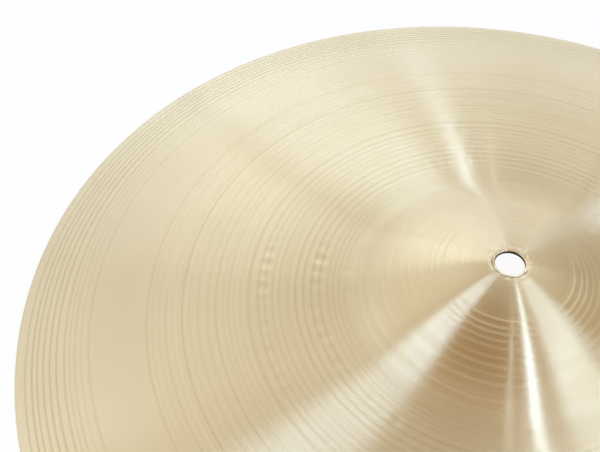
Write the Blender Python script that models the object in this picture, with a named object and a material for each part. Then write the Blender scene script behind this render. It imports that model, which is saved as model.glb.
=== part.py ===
"""A 16 inch orchestral suspended cymbal: one spun and hammered plate of cast bronze.

The whole instrument is a single casting, so it is a single object. Its skin is turned about +Z:
a flat land round the centre hole, the domed bell, a short flare, the long shallow bow and the rim.
The plate lies mouth down on its rim, with the centre of the rim's underside at the origin.
"""

import math

import bmesh
import bpy

# Driving sizes, in metres. Heights are those of the top skin.
CYMBAL_DIAMETER = 0.4064  # 16 inches across the rim
BELL_DIAMETER = 0.1256  # across the crease where the bell meets the bow
BELL_HEIGHT = 0.0200  # from the crease up to the land round the hole
BELL_ROUNDNESS = 1.62  # 2 gives a parabola, and less a bell that is nearer to a cone
BOW_HEIGHT = 0.0230  # from the rim up to the crease
BOW_START_SLOPE = 0.069  # how fast the bow already falls where it leaves the crease
BOW_CURL = 3.1  # above 2 the bow bends more towards the rim than a parabola does
HOLE_DIAMETER = 0.0122  # clears the sleeve of a cymbal stand
EDGE_BREAK = 0.0002  # small chamfer where the hole and the rim were deburred
LAND_WIDTH = 0.0022  # flat ring round the hole, where a felt or a strap's knot bears
FLARE_WIDTH = 0.0070  # radial length of the hollow curve between the bell and the bow
HOLE_THICKNESS = 0.0015
CREASE_THICKNESS = 0.0012
RIM_THICKNESS = 0.0008
RIM_FLAT_WIDTH = 0.0007  # scraped ring under the rim, on which the plate stands

# How finely the turned skin is drawn
SEGMENTS = 96
BELL_RINGS = 8
FLARE_RINGS = 4
BOW_RINGS = 9
SLOPE_STEP = 1e-6  # half the span over which a slope is measured
SHARP_ANGLE = math.radians(35)

BRONZE_COLOUR = (0.80, 0.70, 0.50, 1.0)
BRONZE_ROUGHNESS = 0.30

rim_radius = CYMBAL_DIAMETER / 2
crease_radius = BELL_DIAMETER / 2
hole_radius = HOLE_DIAMETER / 2
land_start = hole_radius + EDGE_BREAK
land_end = land_start + LAND_WIDTH
flare_start = crease_radius - FLARE_WIDTH / 2
flare_end = crease_radius + FLARE_WIDTH / 2
rim_break_start = rim_radius - EDGE_BREAK
rim_flat_start = rim_break_start - RIM_FLAT_WIDTH


def clear_scene():
    for obj in list(bpy.data.objects):
        bpy.data.objects.remove(obj, do_unlink=True)


def bell_height_at(radius):
    """Height of the bell above the top of the rim: level inside the land, then ever steeper."""
    share = max(radius - land_end, 0.0) / (crease_radius - land_end)
    return BOW_HEIGHT + BELL_HEIGHT * (1 - share**BELL_ROUNDNESS)


def bow_height_at(radius):
    """Height of the bow above the top of the rim: a steady fall, and a curl towards the rim."""
    span = rim_radius - crease_radius
    share = max(radius - crease_radius, 0.0) / span
    steady_fall = BOW_START_SLOPE * span
    curled_fall = BOW_HEIGHT - steady_fall
    return BOW_HEIGHT - steady_fall * share - curled_fall * share**BOW_CURL


def slope(height_at, radius):
    rise = height_at(radius + SLOPE_STEP) - height_at(radius - SLOPE_STEP)
    return rise / (2 * SLOPE_STEP)


def flare_height_at(radius):
    """A cubic that leaves the bell and joins the bow, each at its own height and slope."""
    share = (radius - flare_start) / FLARE_WIDTH
    start_height = bell_height_at(flare_start)
    end_height = bow_height_at(flare_end)
    start_rise = slope(bell_height_at, flare_start) * FLARE_WIDTH
    end_rise = slope(bow_height_at, flare_end) * FLARE_WIDTH
    return (
        start_height * (2 * share**3 - 3 * share**2 + 1)
        + start_rise * (share**3 - 2 * share**2 + share)
        + end_height * (3 * share**2 - 2 * share**3)
        + end_rise * (share**3 - share**2)
    )


def skin_height(radius):
    """Height of the top skin above the top of the rim."""
    if radius <= flare_start:
        return bell_height_at(radius)
    if radius < flare_end:
        return flare_height_at(radius)
    return bow_height_at(radius)


def thickness(radius):
    """The plate thins from the hole to the crease, and again from there to the rim."""
    if radius < crease_radius:
        share = max(radius - land_end, 0.0) / (crease_radius - land_end)
        return HOLE_THICKNESS + (CREASE_THICKNESS - HOLE_THICKNESS) * share
    share = (radius - crease_radius) / (rim_radius - crease_radius)
    return CREASE_THICKNESS + (RIM_THICKNESS - CREASE_THICKNESS) * share


def top_point(radius):
    return radius, skin_height(radius)


def under_point(radius):
    """The point straight through the plate from the top skin at this radius."""
    tilt = math.atan(slope(skin_height, radius))
    depth = thickness(radius)
    return radius + depth * math.sin(tilt), skin_height(radius) - depth * math.cos(tilt)


def rings_between(start, end, count):
    """Radii of this many rings, evenly spaced after start, the last of them at end."""
    return [start + (end - start) * step / count for step in range(1, count + 1)]


def skin_radii():
    """Radii of the turned rings outside the land, as far as the flat under the rim."""
    bell = rings_between(land_end, flare_start, BELL_RINGS)
    flare = rings_between(flare_start, flare_end, FLARE_RINGS)
    bow = rings_between(flare_end, rim_flat_start, BOW_RINGS)
    return bell + flare + bow


def section():
    """The plate's half section, a closed loop of radii and heights, with the rim's underside at 0."""
    crown = skin_height(land_start)
    land_under = crown - HOLE_THICKNESS
    top = [(land_start, crown), (land_end, crown)]
    top += [top_point(radius) for radius in skin_radii()]
    rim = [
        top_point(rim_break_start),
        (rim_radius, -EDGE_BREAK),
        (rim_radius, EDGE_BREAK - RIM_THICKNESS),
        (rim_break_start, -RIM_THICKNESS),
        (rim_flat_start, -RIM_THICKNESS),
    ]
    under = [under_point(radius) for radius in reversed(skin_radii()[:-1])]
    hole = [
        (land_end, land_under),
        (land_start, land_under),
        (hole_radius, land_under + EDGE_BREAK),
        (hole_radius, crown - EDGE_BREAK),
    ]
    return [(radius, height + RIM_THICKNESS) for radius, height in top + rim + under + hole]


def turned_mesh(name, outline):
    """Turns a closed half section about +Z into one closed mesh."""
    mesh = bpy.data.meshes.new(name)
    bm = bmesh.new()
    corners = [bm.verts.new((radius, 0.0, height)) for radius, height in outline]
    sides = [bm.edges.new(pair) for pair in zip(corners, corners[1:] + corners[:1])]
    bmesh.ops.spin(
        bm,
        geom=corners + sides,
        cent=(0, 0, 0),
        axis=(0, 0, 1),
        angle=math.tau,
        steps=SEGMENTS,
        use_merge=True,
    )
    bmesh.ops.recalc_face_normals(bm, faces=bm.faces)
    bm.to_mesh(mesh)
    bm.free()
    mesh.shade_smooth()
    mesh.set_sharp_from_angle(angle=SHARP_ANGLE)
    return mesh


def cast_bronze():
    material = bpy.data.materials.new("cast_bronze")
    material.use_nodes = True
    shader = material.node_tree.nodes["Principled BSDF"]
    shader.inputs["Base Color"].default_value = BRONZE_COLOUR
    shader.inputs["Metallic"].default_value = 1.0
    shader.inputs["Roughness"].default_value = BRONZE_ROUGHNESS
    return material


def build_cymbal():
    mesh = turned_mesh("cymbal", section())
    mesh.materials.append(cast_bronze())
    cymbal = bpy.data.objects.new("cymbal", mesh)
    bpy.context.scene.collection.objects.link(cymbal)


clear_scene()
build_cymbal()
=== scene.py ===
import math
import random

import bpy
from mathutils import Euler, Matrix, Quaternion, Vector


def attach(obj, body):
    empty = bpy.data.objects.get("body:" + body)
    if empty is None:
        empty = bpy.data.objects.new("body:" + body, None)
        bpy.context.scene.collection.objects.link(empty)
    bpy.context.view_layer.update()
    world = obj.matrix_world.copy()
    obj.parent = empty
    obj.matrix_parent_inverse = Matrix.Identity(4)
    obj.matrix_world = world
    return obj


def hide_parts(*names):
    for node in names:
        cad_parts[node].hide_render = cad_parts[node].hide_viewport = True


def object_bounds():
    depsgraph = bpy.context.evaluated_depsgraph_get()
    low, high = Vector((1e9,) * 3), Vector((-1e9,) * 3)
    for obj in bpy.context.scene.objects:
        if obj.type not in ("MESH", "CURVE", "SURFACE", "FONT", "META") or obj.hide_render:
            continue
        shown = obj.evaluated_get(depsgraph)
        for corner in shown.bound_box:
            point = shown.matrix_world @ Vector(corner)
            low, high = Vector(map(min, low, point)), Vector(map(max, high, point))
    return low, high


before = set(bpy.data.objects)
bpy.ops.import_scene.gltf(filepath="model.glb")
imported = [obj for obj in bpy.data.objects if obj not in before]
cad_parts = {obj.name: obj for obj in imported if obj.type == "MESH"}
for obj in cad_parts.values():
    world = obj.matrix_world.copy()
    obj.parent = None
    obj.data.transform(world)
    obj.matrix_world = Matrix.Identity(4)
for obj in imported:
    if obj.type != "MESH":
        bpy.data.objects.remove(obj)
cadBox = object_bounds()

scene = bpy.context.scene
scene.view_settings.view_transform = "Standard"
random.seed(16)

mm = 0.001


# Helpers for the modelling

def deselectAll():
    for item in bpy.context.selected_objects:
        item.select_set(False)


def selectVertices(item, wanted):
    # selects the vertices whose index passes the test, and stays in edit mode
    bpy.ops.object.mode_set(mode="EDIT")
    bpy.ops.mesh.select_mode(type="VERT")
    bpy.ops.mesh.select_all(action="DESELECT")
    bpy.ops.object.mode_set(mode="OBJECT")
    for vertex in item.data.vertices:
        vertex.select = wanted(vertex.index)
    bpy.ops.object.mode_set(mode="EDIT")


# Helpers for the materials

def newMaterial(name):
    material = bpy.data.materials.new(name)
    material.use_nodes = True
    material.node_tree.nodes.clear()
    return material


def addNode(tree, kind, inputs=None, **settings):
    # an input that is another node's output is linked, and a plain value is set on the socket itself
    node = tree.nodes.new(kind)
    for name, value in settings.items():
        setattr(node, name, value)
    for name, value in (inputs or {}).items():
        if isinstance(value, bpy.types.NodeSocket):
            tree.links.new(value, node.inputs[name])
        else:
            node.inputs[name].default_value = value
    return node


def mathNode(tree, operation, *values, clamp=False):
    inputs = dict(enumerate(values))
    return addNode(tree, "ShaderNodeMath", inputs, operation=operation, use_clamp=clamp).outputs[0]


def vectorNode(tree, operation, *values, result="Vector"):
    inputs = dict(enumerate(values))
    return addNode(tree, "ShaderNodeVectorMath", inputs, operation=operation).outputs[result]


def between(tree, source, start, end, low=0.0, high=1.0):
    # runs from low at start to high at end, and stays level beyond them
    inputs = {"Value": source, "From Min": start, "From Max": end, "To Min": low, "To Max": high}
    return addNode(tree, "ShaderNodeMapRange", inputs).outputs[0]


def rampNode(tree, source, stops):
    node = addNode(tree, "ShaderNodeValToRGB", {"Fac": source})
    ramp = node.color_ramp
    while len(ramp.elements) < len(stops):
        ramp.elements.new(0.5)
    for element, (position, colour) in zip(ramp.elements, stops):
        element.position = position
        element.color = (*colour, 1.0) if isinstance(colour, tuple) else (colour, colour, colour, 1.0)
    return node.outputs["Color"]


def mixColours(tree, amount, first, second, clamp=True):
    # the mix node keeps its two colours on sockets 6 and 7, and their mix on output 2
    inputs = {0: amount, 6: first, 7: second}
    return addNode(tree, "ShaderNodeMix", inputs, data_type="RGBA", clamp_factor=clamp).outputs[2]


def mixShaders(tree, amount, first, second):
    return addNode(tree, "ShaderNodeMixShader", {0: amount, 1: first, 2: second}).outputs[0]


def noiseNode(tree, place, pattern):
    inputs = {"Vector": place, "Scale": pattern["perMetre"], "Detail": pattern["detail"]}
    return addNode(tree, "ShaderNodeTexNoise", inputs).outputs["Fac"]


# The plate: bell, bow and rim turned from one half section

plateShape = {
    "segments": 288,  # round the axis
    # zones of rings that the lathe left: from radius, to radius, width and depth of a ring, all in
    # millimetres, and then how bright its ridge is, as a painted highlight and through the lean of its
    # sides, below 0 a painted dark line
    "topRings": [
        (11.0, 26.5, 2.60, 0.012, 0.24),
        (26.5, 34.5, 2.60, 0.030, 0.90),
        (34.5, 50.0, 3.50, 0.030, 1.00),
        (50.0, 56.0, 3.50, 0.035, 0.80),
        (56.0, 60.6, 2.60, 0.025, 0.50),
        (66.0, 73.0, 2.60, 0.030, -0.16),
        (73.0, 90.5, 2.80, 0.035, -0.25),
        (90.5, 106.0, 2.95, 0.024, -0.17),
        (106.0, 119.0, 2.95, 0.020, -0.16),
        (119.0, 135.0, 3.40, 0.030, -0.20),
        (135.0, 150.0, 2.90, 0.014, -0.15),
        (150.0, 172.0, 2.90, 0.006, -0.04),
        (172.0, 180.0, 2.72, 0.025, -0.30),
        (180.0, 200.8, 2.72, 0.045, -0.55),
    ],
    "underRings": [
        (12.0, 58.0, 5.8, 0.070, 0.50),
        (66.0, 198.0, 5.6, 0.060, 0.50),
    ],
    "grooveFloor": (0.26, 0.74),  # where a groove's floor starts and ends, between two crests
    "lastRing": 0.4,  # a ring starts only while this share of its width is left in its zone
    "widthSpread": 0.28,
    "depthSpread": 0.55,
    "plainRadii": (9.6, 61.6, 62.8, 64.2, 201.2),  # millimetres, for points where there are no rings
    "underPlainRadii": (9.8, 62.5, 200.4),
    # the round top edge of the hole in millimetres, out from its wall and down from the land
    "holeRound": [(0.0, 0.50), (0.07, 0.26), (0.22, 0.08), (0.5, 0.0)],
    "edgeBreak": 0.2,  # millimetres off the rim's edges and the hole's lower one
    "rimWall": (0.6, 0.2),  # the heights in millimetres between which the rim's edge stands upright
    "weld": 0.005,  # millimetres within which points become one
    "hammerRings": [  # radius, half length, depth, all in millimetres, and rows of points to a mark
        (65.5, 2.0, 0.022, 4),
        (77.0, 2.6, 0.055, 4),
        (99.5, 2.6, 0.050, 3),
        (120.0, 2.6, 0.025, 3),
    ],
    "hammerForce": (0.6, 1.0, 1.5),  # light, middling and hard blows
    "hammerReach": 0.3,  # millimetres, how far under the top skin a point may lie and still be struck
    "sharpAngle": 35,  # degrees, above which an edge is shaded sharp
}

skinLimits = {
    "upright": 0.8,  # the share of a face's normal that points up or down, above which it counts as skin
    "onAxis": 1e-6,  # metres, how far off the X axis a point may lie
    "digits": 7,  # kept of a radius in metres
    "sameRadius": 1e-9,  # metres, within which two radii are one
    "level": 1e-6,  # slope, below which the skin counts as flat
}


def readSkin(node, facing):
    # where the CAD skin crosses +X: facing is 1 for the top and -1 for the underside
    found = {}
    for polygon in node.data.polygons:
        if polygon.normal.z * facing < skinLimits["upright"]:
            continue
        for index in polygon.vertices:
            x, y, z = node.data.vertices[index].co
            if x > 0 and abs(y) < skinLimits["onAxis"]:
                found[round(x, skinLimits["digits"])] = z
    return sorted(found.items())


def slopeAt(skin, k):
    # the slope at one of the skin's points: none on the land, and that of the last stretch at the rim
    if k <= 1:
        return 0.0
    if k == len(skin) - 1:
        return (skin[-1][1] - skin[-2][1]) / (skin[-1][0] - skin[-2][0])
    (r0, z0), (r1, z1), (r2, z2) = skin[k - 1 : k + 2]
    inside, outside = r1 - r0, r2 - r1
    return ((z1 - z0) / inside * outside + (z2 - z1) / outside * inside) / (inside + outside)


def heightAt(skin, radius):
    # a smooth curve through the skin's points, flat on the land and on the rim's flat
    last = len(skin) - 2
    k = max(i for i in range(last + 1) if i == 0 or skin[i][0] <= radius + skinLimits["sameRadius"])
    (r0, z0), (r1, z1) = skin[k], skin[k + 1]
    slope = (z1 - z0) / (r1 - r0)
    if k == 0 or k == last and abs(slope) < skinLimits["level"]:
        return z0 + slope * (radius - r0)
    t = (radius - r0) / (r1 - r0)
    m0, m1 = slopeAt(skin, k) * (r1 - r0), slopeAt(skin, k + 1) * (r1 - r0)
    return (
        z0 * (2 * t**3 - 3 * t**2 + 1) + m0 * (t**3 - 2 * t**2 + t)
        + z1 * (3 * t**2 - 2 * t**3) + m1 * (t**3 - t**2)
    )


topSkin = readSkin(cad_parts["cymbal"], 1)
underSkin = readSkin(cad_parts["cymbal"], -1)
plateRadius = cadBox[1][0]


def grooves(zones):
    # radii, depths and ridges of turned scallops: a crest, then the two ends of the groove's floor
    found = []
    for start, end, width, depth, ridge in zones:
        radius = start
        while radius < end - plateShape["lastRing"] * width:
            step = width * (1 + plateShape["widthSpread"] * random.uniform(-1, 1))
            force = 1 + plateShape["depthSpread"] * random.uniform(-1, 1)
            found.append((radius, 0.0, ridge * force))
            found += [(radius + share * step, depth * force, 0.0) for share in plateShape["grooveFloor"]]
            radius += step
    return found


def plateSection():
    # the closed half section, from the hole over the top to the rim and back underneath:
    # radius, height, and how bright a ridge stands there, as a painted highlight, below 0 as painted shade
    landStart, crown = topSkin[0]
    landEnd = topSkin[1][0]
    rimStart, rimTop = topSkin[-1]
    rimFlat = underSkin[-2][0]
    underCrown = underSkin[0][1]
    edgeBreak = plateShape["edgeBreak"] * mm
    wall = landStart - edgeBreak
    edge = rimStart + edgeBreak
    top = grooves(plateShape["topRings"]) + [(r, 0.0, 0.0) for r in plateShape["plainRadii"]]
    under = grooves(plateShape["underRings"]) + [(r, 0.0, 0.0) for r in plateShape["underPlainRadii"]]
    under.sort(reverse=True)
    points = [(wall + out * mm, crown - down * mm, 0) for out, down in plateShape["holeRound"]]
    points += [(landEnd, crown, 0)]
    points += [(r * mm, heightAt(topSkin, r * mm) - cut * mm, ridge) for r, cut, ridge in sorted(top)]
    points += [(rimStart, rimTop, 0)]
    points += [(edge, height * mm, 0) for height in plateShape["rimWall"]]
    points += [(rimStart, 0.0, 0), (rimFlat, 0.0, 0)]
    points += [(r * mm, heightAt(underSkin, r * mm) + cut * mm, ridge) for r, cut, ridge in under]
    points += [(landEnd, underCrown, 0), (landStart, underCrown, 0), (wall, underCrown + edgeBreak, 0)]
    return points


def turnPlate(section):
    deselectAll()
    bpy.ops.mesh.primitive_plane_add(size=mm, location=(0, 0, 0))
    plate = bpy.context.object
    plate.name = plate.data.name = "cymbal_plate"
    # one corner is kept and drawn out along the section
    selectVertices(plate, lambda index: index > 0)
    bpy.ops.mesh.delete(type="VERT")
    bpy.ops.object.mode_set(mode="OBJECT")
    plate.data.vertices[0].co = (section[0][0], 0, section[0][1])
    selectVertices(plate, lambda index: True)
    for (fromRadius, fromHeight, _), (toRadius, toHeight, _) in zip(section, section[1:]):
        bpy.ops.mesh.extrude_region_move(
            TRANSFORM_OT_translate={"value": (toRadius - fromRadius, 0, toHeight - fromHeight)}
        )
    bpy.ops.object.mode_set(mode="OBJECT")
    last = len(plate.data.vertices) - 1
    selectVertices(plate, lambda index: index in (0, last))
    bpy.ops.mesh.edge_face_add()
    bpy.ops.mesh.select_all(action="SELECT")
    bpy.ops.mesh.spin(
        steps=plateShape["segments"], angle=math.tau, center=(0, 0, 0), axis=(0, 0, 1)
    )
    bpy.ops.mesh.select_all(action="SELECT")
    bpy.ops.mesh.remove_doubles(threshold=plateShape["weld"] * mm)
    bpy.ops.mesh.normals_make_consistent(inside=False)
    bpy.ops.object.mode_set(mode="OBJECT")
    return plate


def markRidges(plate, section):
    # keeps on each point how bright its ridge is, for the finish to paint as a highlight, below 0 as shade,
    # and to lean the groove sides by
    def hundredths(radius, height):
        return round(radius / mm, 2), round(height / mm, 2)

    ridges = {hundredths(radius, height): ridge for radius, height, ridge in section}
    marks = plate.data.attributes.new("ridge", "FLOAT", "POINT")
    for vertex in plate.data.vertices:
        x, y, z = vertex.co
        marks.data[vertex.index].value = ridges.get(hundredths(math.hypot(x, y), z), 0.0)


def hammerPlate(plate):
    # short radial dents in rings, left under the turning
    segments = plateShape["segments"]
    step = math.tau / segments
    reach = plateShape["hammerReach"] * mm
    blows = [random.choice(plateShape["hammerForce"]) for _ in range(segments)]
    struck = {force: set() for force in plateShape["hammerForce"]}
    for vertex in plate.data.vertices:
        x, y, z = vertex.co
        radius = math.hypot(x, y)
        for ring, (middle, halfLength, _, rows) in enumerate(plateShape["hammerRings"]):
            if abs(radius - middle * mm) > halfLength * mm or z < heightAt(topSkin, radius) - reach:
                continue
            row = round(math.atan2(y, x) / step) % segments
            if row % rows == ring % rows:
                struck[blows[row]].add((ring, vertex.index))
    for force, marks in struck.items():
        for ring, (_, _, depth, _) in enumerate(plateShape["hammerRings"]):
            chosen = {index for where, index in marks if where == ring}
            selectVertices(plate, lambda index: index in chosen)
            bpy.ops.transform.translate(value=(0, 0, -depth * force * mm))
            bpy.ops.object.mode_set(mode="OBJECT")


def smoothPlate(plate):
    deselectAll()
    plate.select_set(True)
    bpy.context.view_layer.objects.active = plate
    bpy.ops.object.shade_smooth_by_angle(angle=math.radians(plateShape["sharpAngle"]))


section = plateSection()
plate = turnPlate(section)
markRidges(plate, section)
print("plate turned:", len(plate.data.vertices), "points")
hammerPlate(plate)
smoothPlate(plate)
print("plate hammered")


# Turned bronze: the grooves spread light outwards from the axis and hardly at all round it

bronze = {
    "light": (0.798, 0.661, 0.463),
    "deep": (0.772, 0.631, 0.430),
    "stain": {"perMetre": 18, "detail": 2, "from": 0.35, "to": 0.65},  # patches of the deep and the light
    # each list below goes by the radius, in millimetres
    "tone": [  # the bell is warmer and the rim cooler
        (0.0, (0.94, 0.91, 0.87)),
        (46, (0.95, 0.92, 0.88)),
        (62, (1.03, 1.02, 1.01)),
        (82, (1.05, 1.04, 1.03)),
        (120, (1.03, 1.02, 1.01)),
        (150, (1.03, 1.02, 1.04)),
        (170, (1.03, 1.04, 1.08)),
        (203, (1.03, 1.06, 1.12)),
    ],
    "grooveShadeGain": (0.97, 0.965, 0.95),  # painted shade: the colour of a groove, to that of the plain metal
    "ridgeHighlightGain": (1.27, 1.33, 1.46),  # and the painted highlight of a sharp ridge
    "paintedRingShare": [(0.0, 0.10), (24, 0.25), (48, 0.30), (60, 0.40), (66, 1.0)],  # how much of this painted light and shade shows
    "roughness": 0.26,
    "roughnessSpread": 0.012,
    "roughnessPerMetre": 300,
    "noiseRange": (0.2, 0.8),  # roughly the least and the most that the noise along a radius comes to
    # the sides of the fine grooves lean by three slopes, each over its share of the metal
    "slant": 0.35,
    "steep": 0.75,
    "scored": 1.05,
    "slantShare": [(0.0, 0.51), (45, 0.51), (62, 0.56), (100, 0.44), (203, 0.40)],
    "steepShare": [
        (0.0, 0.10), (24, 0.0), (40, 0.0), (50, 0.14), (58, 0.33),
        (66, 0.35), (84, 0.31), (125, 0.25), (203, 0.21),
    ],
    "scoredShare": [
        (0.0, 0.004), (44, 0.02), (58, 0.13), (68, 0.12), (84, 0.09), (110, 0.03), (150, 0.004),
    ],
    # what a ridge adds to the steep share, and how far it turns the slanted sides inwards
    "ridgeShare": [(0.0, 0.10), (24, 0.20), (46, 0.20), (54, 0.22), (66, 0.0), (150, 0.0), (175, 0.25)],
    "ridgeTilt": [(0.0, 0.3), (22, 0.56), (40, 0.56), (50, 0.0)],
    "ridgeMiddle": 0.3,  # the ridge at which as many lean inwards as outwards
    # how far the tool strays round the axis from turn to turn
    "waver": [(0.0, 0.020), (24, 0.027), (52, 0.027), (62, 0.012), (90, 0.008), (112, 0.0)],
    "waverPerMetre": 1400,
    # every radius, width and depth from here on is in millimetres
    "speck": {"colour": (0.45, 0.34, 0.20), "perMetre": 85, "share": 0.06, "radius": 0.35},
    "land": {"colour": (0.86, 0.70, 0.50), "roughness": 0.32, "from": 7.6, "to": 10.2},
    "rubbing": {"perMetre": 380, "detail": 3, "from": 0.42, "to": 0.58, "least": 0.15, "most": 0.85},
    # painted shade: a broken dark line on the land round the front of the hole
    "edgeShade": {
        "colour": (0.16, 0.12, 0.06), "roughness": 0.5, "radius": 7.35, "halfWidth": 0.25, "core": 0.6,
        "front": -1.5, "back": 1.5,  # where on Y it starts to fade and where it has gone
    },
    "edgeShadeBreaks": {"perMetre": 110, "detail": 1, "from": 0.40, "to": 0.50},
    "hole": {  # dark from this depth under the land down, with a short blend
        "colour": (0.030, 0.020, 0.012), "roughness": 0.45, "depth": 0.15, "blend": 0.1,
    },
}


def plateCoordinates(tree):
    # what the finish goes by: the place of a point, its radius and ridge, and the way outwards
    place = addNode(tree, "ShaderNodeTexCoord").outputs["Object"]
    flat = addNode(tree, "ShaderNodeMapping", {"Vector": place, "Scale": (1, 1, 0)}).outputs[0]
    radius = vectorNode(tree, "LENGTH", flat, result="Value")
    return {
        "place": place,
        "sides": addNode(tree, "ShaderNodeSeparateXYZ", {0: place}).outputs,
        "outward": vectorNode(tree, "NORMALIZE", flat),
        "radius": radius,
        "radiusShare": mathNode(tree, "DIVIDE", radius, plateRadius),
        "ridge": addNode(tree, "ShaderNodeAttribute", attribute_name="ridge").outputs["Fac"],
    }


def byRadius(tree, at, stops):
    shares = [(min(1, stop * mm / plateRadius), level) for stop, level in stops]
    return rampNode(tree, at["radiusShare"], shares)


def noiseByRadius(tree, at, perMetre):
    turns = mathNode(tree, "MULTIPLY", at["radius"], perMetre)
    inputs = {"W": turns, "Scale": 1.0, "Detail": 0.0}
    return addNode(tree, "ShaderNodeTexNoise", inputs, noise_dimensions="1D").outputs["Fac"]


def waveringNormal(tree, at):
    # the tool wavers from turn to turn, which frays the edges of the streaks
    waver = mathNode(tree, "SUBTRACT", noiseByRadius(tree, at, bronze["waverPerMetre"]), 0.5)
    waver = mathNode(tree, "MULTIPLY", waver, byRadius(tree, at, bronze["waver"]))
    sideways = vectorNode(tree, "CROSS_PRODUCT", (0, 0, 1), at["outward"])
    upright = addNode(tree, "ShaderNodeNewGeometry").outputs["Normal"]
    return vectorNode(tree, "MULTIPLY_ADD", sideways, waver, upright)


def waveringRoughness(tree, at):
    # the roughness changes slowly from ring to ring
    middle, spread = bronze["roughness"], bronze["roughnessSpread"]
    noise = noiseByRadius(tree, at, bronze["roughnessPerMetre"])
    return between(tree, noise, *bronze["noiseRange"], middle - spread, middle + spread)


def speckled(tree, at, colour):
    # one cell in many holds a small dark spot
    speck = bronze["speck"]
    inputs = {"Vector": at["place"], "Scale": speck["perMetre"]}
    cells = addNode(tree, "ShaderNodeTexVoronoi", inputs).outputs
    near = mathNode(tree, "LESS_THAN", cells["Distance"], speck["radius"] * mm * speck["perMetre"])
    chosen = addNode(tree, "ShaderNodeSeparateColor", {0: cells["Color"]}).outputs[0]
    spotted = mathNode(tree, "MULTIPLY", near, mathNode(tree, "LESS_THAN", chosen, speck["share"]))
    return mixColours(tree, spotted, colour, (*speck["colour"], 1))


def metalColour(tree, at):
    stain = bronze["stain"]
    stops = [(stain["from"], bronze["deep"]), (stain["to"], bronze["light"])]
    colour = rampNode(tree, noiseNode(tree, at["place"], stain), stops)
    # a painted highlight makes a ridge paler than the groove beside it, and painted shade makes it darker
    # where its mark is below 0, as on the bow
    showing = byRadius(tree, at, bronze["paintedRingShare"])
    height = mathNode(tree, "MULTIPLY", at["ridge"], showing)
    gain = mixColours(tree, height, (*bronze["grooveShadeGain"], 1), (*bronze["ridgeHighlightGain"], 1), clamp=False)
    colour = vectorNode(tree, "MULTIPLY", colour, mixColours(tree, showing, (1, 1, 1, 1), gain))
    colour = vectorNode(tree, "MULTIPLY", colour, byRadius(tree, at, bronze["tone"]))
    return speckled(tree, at, colour)


def ringedMetal(tree, at):
    colour = metalColour(tree, at)
    roughness = waveringRoughness(tree, at)
    upright = waveringNormal(tree, at)

    def leaning(lean):
        # turned bronze whose normal leans away from the axis, or towards it below 0
        tilted = vectorNode(tree, "MULTIPLY_ADD", at["outward"], (lean, lean, lean), upright)
        finish = {"Base Color": colour, "Roughness": roughness, "Metallic": 1.0, "Anisotropic": 1.0}
        facing = {"Normal": vectorNode(tree, "NORMALIZE", tilted), "Tangent": at["outward"]}
        return addNode(tree, "ShaderNodeBsdfPrincipled", finish | facing).outputs[0]

    # on the bell, more of the slanted sides lean inwards on a ridge, and outwards between the ridges
    inward = mathNode(tree, "SUBTRACT", at["ridge"], bronze["ridgeMiddle"])
    inward = mathNode(tree, "MULTIPLY", inward, byRadius(tree, at, bronze["ridgeTilt"]))
    inward = mathNode(tree, "ADD", inward, 0.5, clamp=True)
    slanted = mixShaders(tree, inward, leaning(bronze["slant"]), leaning(-bronze["slant"]))
    steep = mixShaders(tree, 0.5, leaning(bronze["steep"]), leaning(-bronze["steep"]))
    onRidges = mathNode(tree, "MULTIPLY", at["ridge"], byRadius(tree, at, bronze["ridgeShare"]))
    steepShare = mathNode(tree, "ADD", byRadius(tree, at, bronze["steepShare"]), onRidges, clamp=True)
    surface = mixShaders(tree, byRadius(tree, at, bronze["slantShare"]), leaning(0.0), slanted)
    surface = mixShaders(tree, steepShare, surface, steep)
    return mixShaders(tree, byRadius(tree, at, bronze["scoredShare"]), surface, leaning(-bronze["scored"]))


def dull(tree, look):
    inputs = {"Base Color": (*look["colour"], 1), "Metallic": 1.0, "Roughness": look["roughness"]}
    return addNode(tree, "ShaderNodeBsdfPrincipled", inputs).outputs[0]


def rubbedLand(tree, at, surface):
    # felts have rubbed the land round the hole in patches
    land, rubbing = bronze["land"], bronze["rubbing"]
    near = between(tree, at["radius"], land["from"] * mm, land["to"] * mm, 1.0, 0.0)
    patches = noiseNode(tree, at["place"], rubbing)
    patches = between(tree, patches, rubbing["from"], rubbing["to"], rubbing["least"], rubbing["most"])
    return mixShaders(tree, mathNode(tree, "MULTIPLY", near, patches), surface, dull(tree, land))


def shadedHoleEdge(tree, at, surface):
    # a broken line of painted shade lies round the front of the hole
    edgeShade, breaks = bronze["edgeShade"], bronze["edgeShadeBreaks"]
    halfWidth = edgeShade["halfWidth"] * mm
    away = mathNode(tree, "ABSOLUTE", mathNode(tree, "SUBTRACT", at["radius"], edgeShade["radius"] * mm))
    line = between(tree, away, edgeShade["core"] * halfWidth, halfWidth, 1.0, 0.0)
    patches = between(tree, noiseNode(tree, at["place"], breaks), breaks["from"], breaks["to"])
    inFront = between(tree, at["sides"]["Y"], edgeShade["front"] * mm, edgeShade["back"] * mm, 1.0, 0.0)
    line = mathNode(tree, "MULTIPLY", mathNode(tree, "MULTIPLY", line, patches), inFront)
    return mixShaders(tree, line, surface, dull(tree, edgeShade))


def darkHole(tree, at, surface):
    # the hole is dull and dark inside, from a little under the land
    hole = bronze["hole"]
    landStart, crown = topSkin[0]
    start = crown - hole["depth"] * mm
    blend = hole["blend"] * mm
    under = between(tree, at["sides"]["Z"], start - blend, start + blend, 1.0, 0.0)
    wall = mathNode(tree, "MULTIPLY", under, mathNode(tree, "LESS_THAN", at["radius"], landStart))
    return mixShaders(tree, wall, surface, dull(tree, hole))


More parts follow.
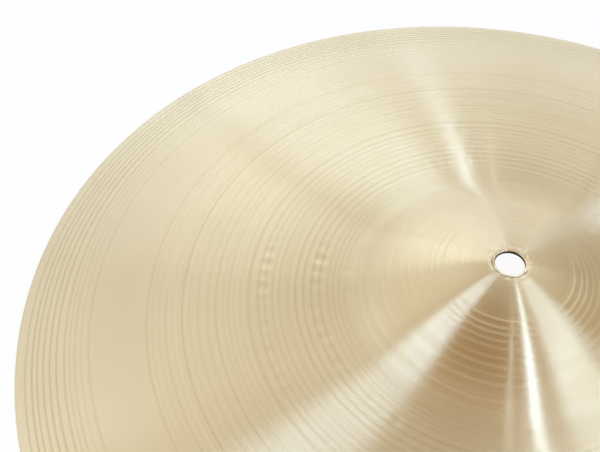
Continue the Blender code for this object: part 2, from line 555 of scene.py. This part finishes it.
def turnedBronze():
    material = newMaterial("turned_bronze")
    tree = material.node_tree
    at = plateCoordinates(tree)
    surface = ringedMetal(tree, at)
    surface = rubbedLand(tree, at, surface)
    surface = shadedHoleEdge(tree, at, surface)
    surface = darkHole(tree, at, surface)
    addNode(tree, "ShaderNodeOutputMaterial", {"Surface": surface})
    return material


plate.data.materials.clear()
plate.data.materials.append(turnedBronze())
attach(plate, "root")
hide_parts("cymbal")
print("plate finished in turned bronze")


# Floor: pale, and white to the camera but for the shadow

floorLook = {
    "width": 12.0,
    "sides": 96,
    "height": -0.3 * mm,
    "colour": (0.86, 0.86, 0.85),
    "whiteShare": 0.93,  # how much of what the camera and gloss see is plain white, without the shadow
}


def paleFloor():
    deselectAll()
    bpy.ops.mesh.primitive_circle_add(
        vertices=floorLook["sides"], radius=floorLook["width"] / 2, fill_type="NGON",
        location=(0, 0, floorLook["height"]),
    )
    floor = bpy.context.object
    floor.name = "floor"
    material = newMaterial("pale_floor")
    tree = material.node_tree
    rays = addNode(tree, "ShaderNodeLightPath").outputs
    seen = mathNode(tree, "MAXIMUM", rays["Is Camera Ray"], rays["Is Glossy Ray"])
    seen = mathNode(tree, "MAXIMUM", seen, rays["Is Transmission Ray"])
    share = mathNode(tree, "MULTIPLY", seen, floorLook["whiteShare"])
    matt = addNode(tree, "ShaderNodeBsdfDiffuse", {"Color": (*floorLook["colour"], 1)}).outputs[0]
    white = addNode(tree, "ShaderNodeEmission", {"Color": (1, 1, 1, 1), "Strength": 1.0}).outputs[0]
    addNode(tree, "ShaderNodeOutputMaterial", {"Surface": mixShaders(tree, share, matt, white)})
    floor.data.materials.append(material)


paleFloor()
print("floor laid")


# Studio: soft panels on stands, a white wall all round and a dim warm ceiling

studio = {
    "aim": (0, 0, 30 * mm),
    "tints": {"white": (0.62, 1.0, 1.62), "cool": (0.68, 1.0, 1.38), "plain": (0.78, 1.0, 1.22)},
    # name, azimuth, angle off the axis, distance, width, height, turn about its own axis, brightness, tint,
    # with the angles in degrees and the lengths in metres
    "panels": [
        ("left softbox", 206.5, 33.2, 1.20, 0.410, 0.220, 0, 6.4, "white"),
        ("right softbox", 7.5, 36.4, 1.20, 0.720, 0.244, 0, 3.05, "white"),
        ("front strip", 324.9, 33.3, 1.20, 0.084, 0.728, -24, 4.3, "white"),
        ("back spot", 64.0, 22.7, 1.20, 0.061, 0.300, 48, 2.0, "cool"),
        ("small strobe", 312.2, 56.7, 1.20, 0.090, 0.122, 0, 16.0, "cool"),
        ("thin tube", 298.9, 40.9, 1.20, 0.012, 0.400, -11, 12.5, "cool"),
        ("back panel", 105.6, 60.9, 1.40, 1.228, 1.081, 0, 1.44, "plain"),
        ("left back panel", 163.9, 59.4, 1.30, 1.666, 1.454, 0, 0.61, "plain"),
        ("right low panel", 345.0, 67.5, 1.50, 0.790, 0.390, 0, 1.90, "plain"),
    ],
    "wall": (1.0, 1.0, 1.0),
    "wallTop": 0.04,  # the sine of the angle above the horizon at which the wall ends
    "ceilingLean": 14,  # degrees by which the dark part of the ceiling leans to the front
    "room": [  # how near the ceiling, from 0 to 1, and the colour there
        (0.14, (0.65, 0.59, 0.42)),
        (0.39, (0.66, 0.58, 0.40)),
        (0.59, (0.65, 0.55, 0.36)),
        (0.74, (0.60, 0.49, 0.30)),
        (0.87, (0.50, 0.36, 0.19)),
        (0.95, (0.36, 0.23, 0.10)),
        (1.00, (0.16, 0.07, 0.02)),
    ],
    "frontGain": 0.30,  # how much brighter the room is in front than above, and darker behind
}


def hangPanel(name, azimuth, zenith, distance, width, height, roll, brightness, tint):
    turn, tilt = math.radians(azimuth), math.radians(zenith)
    towards = Vector((math.sin(tilt) * math.cos(turn), math.sin(tilt) * math.sin(turn), math.cos(tilt)))
    light = bpy.data.lights.new(name, "AREA")
    light.shape = "RECTANGLE"
    light.size, light.size_y = width, height
    light.energy = brightness * math.pi * width * height  # a panel this bright all over, whatever its size
    light.color = studio["tints"][tint]
    lamp = bpy.data.objects.new(name, light)
    lamp.location = Vector(studio["aim"]) + distance * towards
    facing = towards.to_track_quat("Z", "Y") @ Quaternion((0, 0, 1), math.radians(roll))
    lamp.rotation_euler = facing.to_euler()
    lamp.visible_camera = False
    scene.collection.objects.link(lamp)


def paintRoom():
    world = bpy.data.worlds.new("studio")
    world.use_nodes = True
    scene.world = world
    tree = world.node_tree
    tree.nodes.clear()
    direction = addNode(tree, "ShaderNodeTexCoord").outputs["Generated"]
    sides = addNode(tree, "ShaderNodeSeparateXYZ", {0: direction}).outputs
    lean = math.radians(studio["ceilingLean"])
    ceiling = (0, -math.sin(lean), math.cos(lean))
    nearCeiling = vectorNode(tree, "DOT_PRODUCT", direction, ceiling, result="Value")
    gain = mathNode(tree, "MULTIPLY", sides["Y"], -studio["frontGain"])
    gain = mathNode(tree, "ADD", gain, 1.0)
    room = vectorNode(tree, "MULTIPLY", rampNode(tree, nearCeiling, studio["room"]), gain)
    low = mathNode(tree, "LESS_THAN", sides["Z"], studio["wallTop"])
    around = mixColours(tree, low, room, (*studio["wall"], 1))
    glow = addNode(tree, "ShaderNodeBackground", {"Color": around, "Strength": 1.0}).outputs[0]
    addNode(tree, "ShaderNodeOutputWorld", {"Surface": glow})


for panel in studio["panels"]:
    hangPanel(*panel)
paintRoom()
print("studio lit")


# Camera

cameraView = {
    "place": (0.0, -0.27891, 0.37222),  # metres
    "turn": (40.6696, -1.3144, 19.2846),  # degrees
    "lens": 63.0,  # millimetres, as is the sensor
    "sensor": 36.0,
    "shiftUp": -2 / 600,  # a share of the picture's width
    "clip": (0.01, 100),
}


def placeCamera():
    lens = bpy.data.cameras.new("camera")
    lens.sensor_width = cameraView["sensor"]
    lens.lens = cameraView["lens"]
    lens.shift_y = cameraView["shiftUp"]
    lens.clip_start, lens.clip_end = cameraView["clip"]
    camera = bpy.data.objects.new("camera", lens)
    camera.location = cameraView["place"]
    camera.rotation_euler = Euler([math.radians(angle) for angle in cameraView["turn"]])
    scene.collection.objects.link(camera)
    scene.camera = camera


placeCamera()
print("camera placed")


# The scene is brought up to date

bpy.context.view_layer.update()
